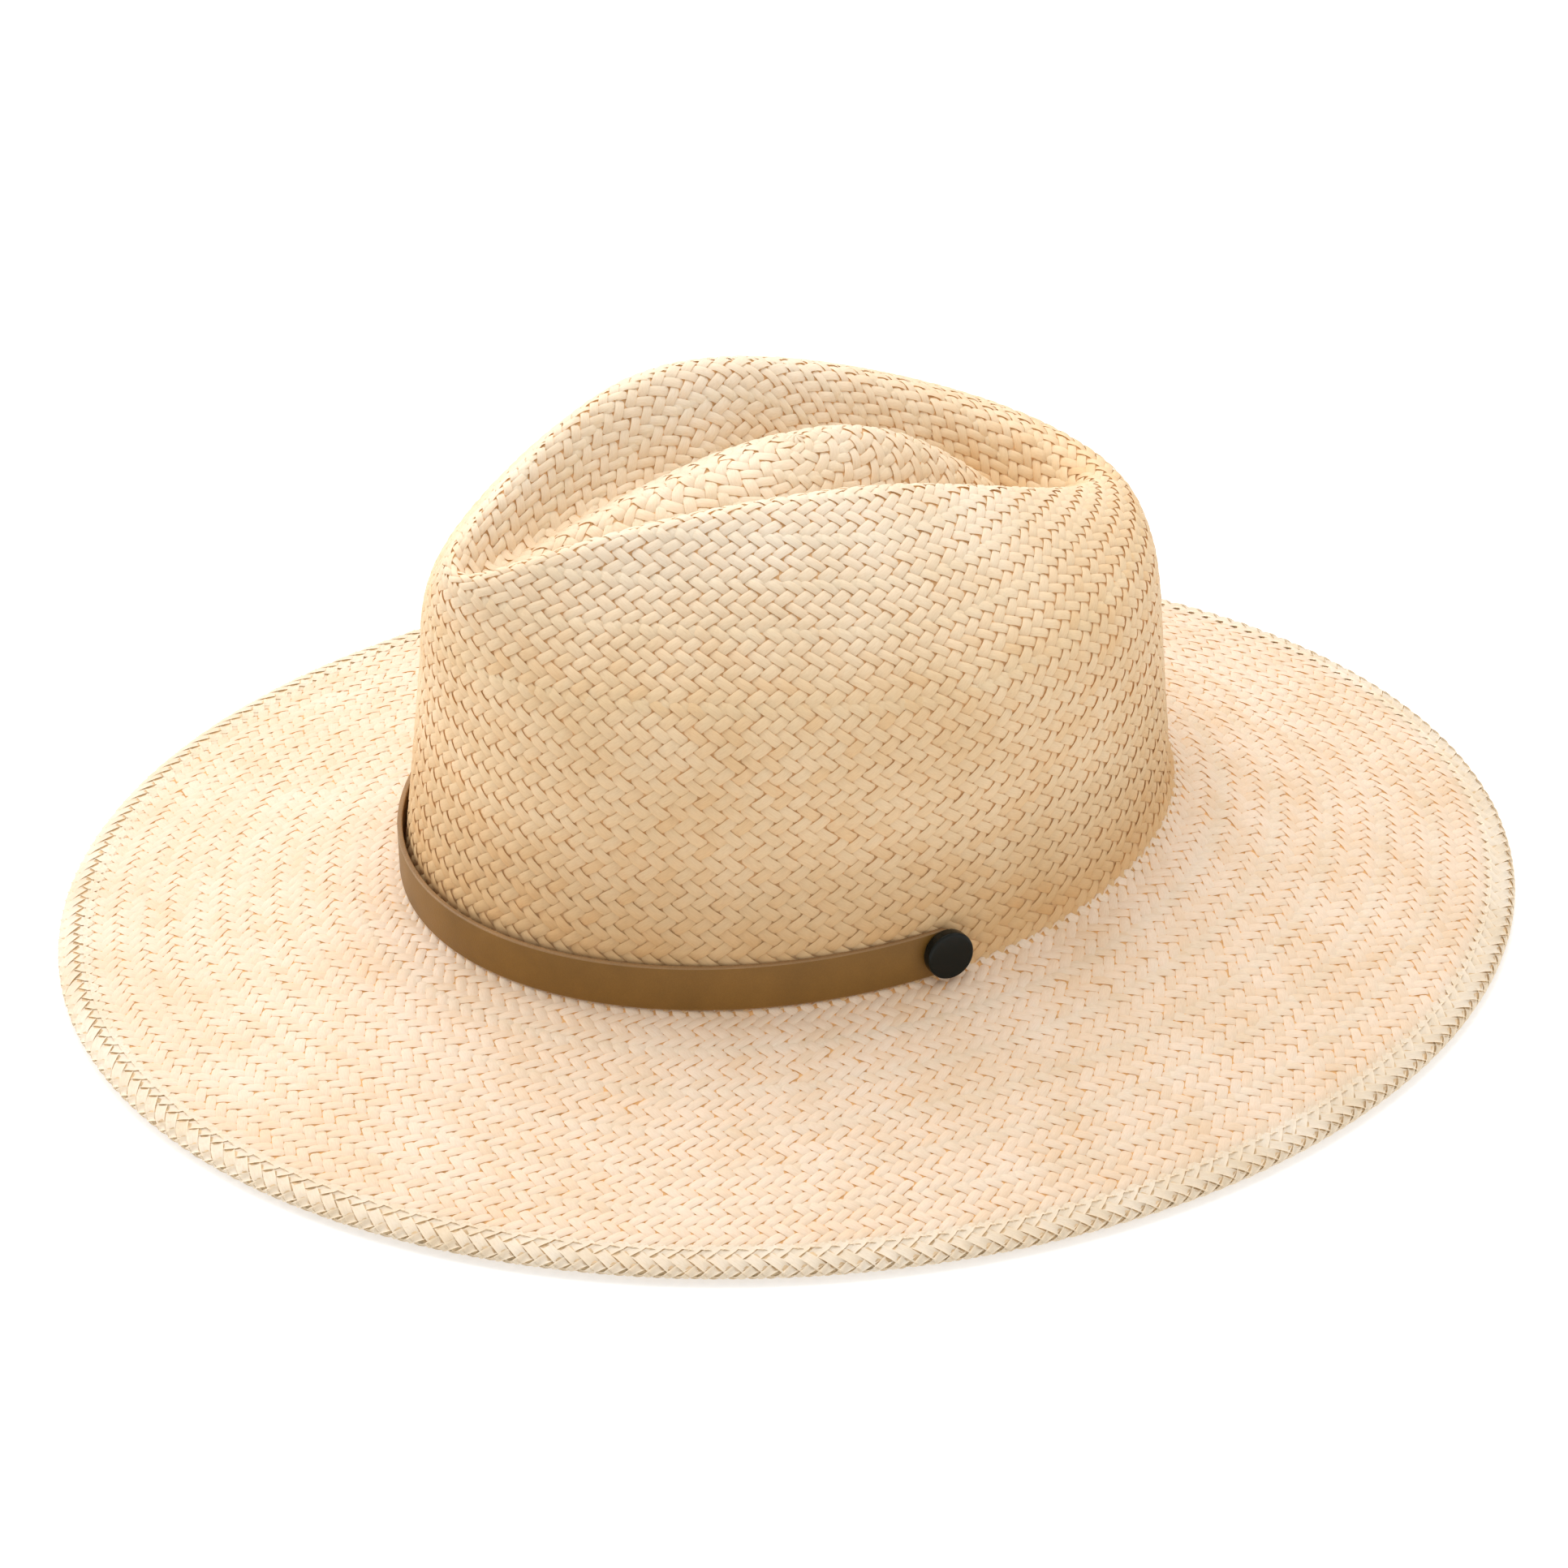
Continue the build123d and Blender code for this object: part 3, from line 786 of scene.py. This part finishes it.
def sweatband():
    """Ribbed ribbon standing round the inside of the crown, its top edge turned over."""
    turns = 480
    turn = np.linspace(0, TAU, turns, endpoint=False)
    outline = [(0.0, sweat_low), (0.0, sweat_high - 0.6), (0.3, sweat_high - 0.1),
               (0.8, sweat_high), (1.2, sweat_high - 0.3), (1.35, sweat_high - 4.0),
               (0.95, sweat_high - 4.4), (0.85, sweat_high - 6), (0.85, sweat_low + 8),
               (0.95, sweat_low + 3), (1.0, sweat_low)]
    fine = []
    for (out_a, up_a), (out_b, up_b) in zip(outline, outline[1:]):
        pieces = max(1, int(abs(up_b - up_a) / 2.5))
        for step in range(pieces):
            share = step / pieces
            fine.append((out_a + (out_b - out_a) * share, up_a + (up_b - up_a) * share))
    fine.append(outline[-1])
    columns = len(fine)
    points = np.empty((turns, columns, 3))
    for column, (inward, up) in enumerate(fine):
        ripple = 0.25 * np.sin(7 * turn + 0.5) * (up - sweat_low) / (sweat_high - sweat_low)
        ring = wall(turn, 0 * turn + up)
        tangent = np.roll(ring, -1, 0) - np.roll(ring, 1, 0)
        inside = np.stack([-tangent[:, 1], tangent[:, 0], 0 * turn], -1)
        inside /= np.linalg.norm(inside, axis=-1, keepdims=True)
        points[:, column] = ring + inside * (sweat_inset + inward + ripple)[:, None]
    faces = grid_faces(turns, columns, closed_rows=True, closed_columns=True)
    piece = mesh_object("sweatband_ribbon", to_row(points), faces, ribbon)
    cloth_uv(piece, columns, turns, sweat_high, sweat_length / rib_pitch)
    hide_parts("sweatband")


sweatband()


def sweatband_seam():
    """The stitches that sew the sweatband's foot to the straw."""
    half_wide, half_long, pitch = 80.0, 96.0, 4.2
    count = int(TAU * math.sqrt((half_wide**2 + half_long**2) / 2) / pitch)
    turn = np.linspace(0, TAU, count, endpoint=False)
    ring = wall(turn, 0 * turn + sweat_low + 1.6, sweat_inset + 1.05)
    along = np.roll(ring, -1, 0) - np.roll(ring, 1, 0)
    along /= np.linalg.norm(along, axis=-1, keepdims=True)
    inward = np.stack([-along[:, 1], along[:, 0], 0 * turn], -1)
    origin = to_row(0 * ring)
    along, inward = to_row(along) - origin, to_row(inward) - origin
    stitch_row("sweatband_stitches", to_row(ring), along, inward, 2.6, 0.24, "sweatband_stitching")


sweatband_seam()


tab_half_turn, tab_inner, tab_outer = 0.070707, 1.45, 2.15  # it is 11.5 mm wide


def sweatband_tab():
    """The tab of the same ribbon, folded flat over the join at the back, with thin edges."""
    columns, rows = 15, 30
    turn = math.pi / 2 + np.linspace(-tab_half_turn, tab_half_turn, columns)
    up = np.linspace(sweat_low + 0.2, sweat_high - 0.4, rows)
    outer = []
    for depth in (tab_inner, tab_outer):
        layer = []
        for height in up:
            edge = 0.25 * np.abs(np.linspace(-1, 1, columns)) ** 6
            ring = wall(turn, 0 * turn + height, sweat_inset)
            ring[:, 1] -= depth - (edge if depth == tab_outer else 0)
            layer.append(ring)
        outer.append(layer)
    points = np.array(outer).reshape(-1, 3)
    quads = grid_faces(rows, columns)
    size = rows * columns
    rim = [(0, c) for c in range(columns)]
    rim += [(r, columns - 1) for r in range(1, rows)]
    rim += [(rows - 1, c) for c in range(columns - 2, -1, -1)]
    rim += [(r, 0) for r in range(rows - 2, 0, -1)]
    rim = np.array([r * columns + c for r, c in rim])
    following = np.roll(rim, -1)
    walls = np.stack([rim, following, following + size, rim + size], -1)
    faces = np.concatenate([quads, quads[:, ::-1] + size, walls])
    piece = mesh_object("sweatband_join_tab", to_row(points), faces, ribbon)
    cloth_uv(piece, columns, rows, columns, rows)
    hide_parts("sweatband_tab")


sweatband_tab()


# ---- floor, light and camera ----------------------------------------------------------------
def studio():
    """A plain white floor that glows a little, as on a light table, under a white sky, with a
    wide soft light above, a low one at the left and a faint one at the right."""
    floor_mesh = bpy.data.meshes.new("floor")
    reach, floor_gap = 6.0, 0.0006
    floor_mesh.from_pydata([(-reach, -reach, 0), (reach, -reach, 0), (reach, reach, 0),
                            (-reach, reach, 0)], [], [(0, 1, 2, 3)])
    floor = bpy.data.objects.new("floor", floor_mesh)
    floor.location.z = -floor_gap
    bpy.context.scene.collection.objects.link(floor)
    glow = {"Emission Color": (1.0, 0.99, 0.97, 1), "Emission Strength": 0.55}
    floor_mesh.materials.append(Shader("floor", (0.55, 0.545, 0.535), 0.9, **glow).material)

    world = bpy.data.worlds.new("studio")
    bpy.context.scene.world = world
    world.use_nodes = True
    sky = world.node_tree.nodes["Background"]
    sky.inputs["Color"].default_value = (1.0, 0.99, 0.97, 1)
    sky.inputs["Strength"].default_value = 0.76

    lamp_distance, middle = 1.4, np.array([0, 0, 0.06])
    for name, azimuth, elevation, size, power in (("softbox_left", 308, 24, 0.7, 7.5),
                                                  ("softbox_above", 262, 72, 1.0, 15.0),
                                                  ("softbox_right", 135, 32, 0.5, 1.6)):
        lamp = bpy.data.lights.new(name, "AREA")
        lamp.energy, lamp.size = power, size
        holder = bpy.data.objects.new(name, lamp)
        back = direction(azimuth, elevation)
        point_to(holder, middle + back * lamp_distance, back)
        bpy.context.scene.collection.objects.link(holder)


def direction(azimuth, elevation):
    """From the hat towards a viewer: azimuth 0 in front of it, 90 at the wearer's left."""
    a, e = math.radians(azimuth), math.radians(elevation)
    return np.array([math.sin(a) * math.cos(e), -math.cos(a) * math.cos(e), math.sin(e)])


def point_to(holder, place, back):
    """Puts a lamp or camera at a place, looking along minus back."""
    z = Vector(back).normalized()
    x = Vector((0, 0, 1)).cross(z).normalized()
    y = z.cross(x)
    turned = Matrix((x, y, z)).transposed().to_4x4()
    holder.matrix_world = Matrix.Translation(Vector(place)) @ turned


def camera():
    """A long lens from the wearer's left front, a little above, as in a catalogue picture."""
    azimuth, elevation, distance = 62.0, 30.6, 3.548
    across, above = -0.00375, 0.0309  # from the footprint's middle to the picture's middle
    back = direction(azimuth, elevation)
    right = np.array([math.cos(math.radians(azimuth)), math.sin(math.radians(azimuth)), 0])
    up = np.cross(back, right)
    aim = np.array([0, 0.00287, 0.0023]) + right * across + up * above
    lens = bpy.data.cameras.new("camera")
    lens.sensor_width = 36.0
    lens.lens = 315.7
    lens.clip_end = 50.0
    holder = bpy.data.objects.new("camera", lens)
    point_to(holder, aim + back * distance, back)
    bpy.context.scene.collection.objects.link(holder)
    bpy.context.scene.camera = holder


studio()
camera()
bpy.context.scene.view_settings.view_transform = "Standard"
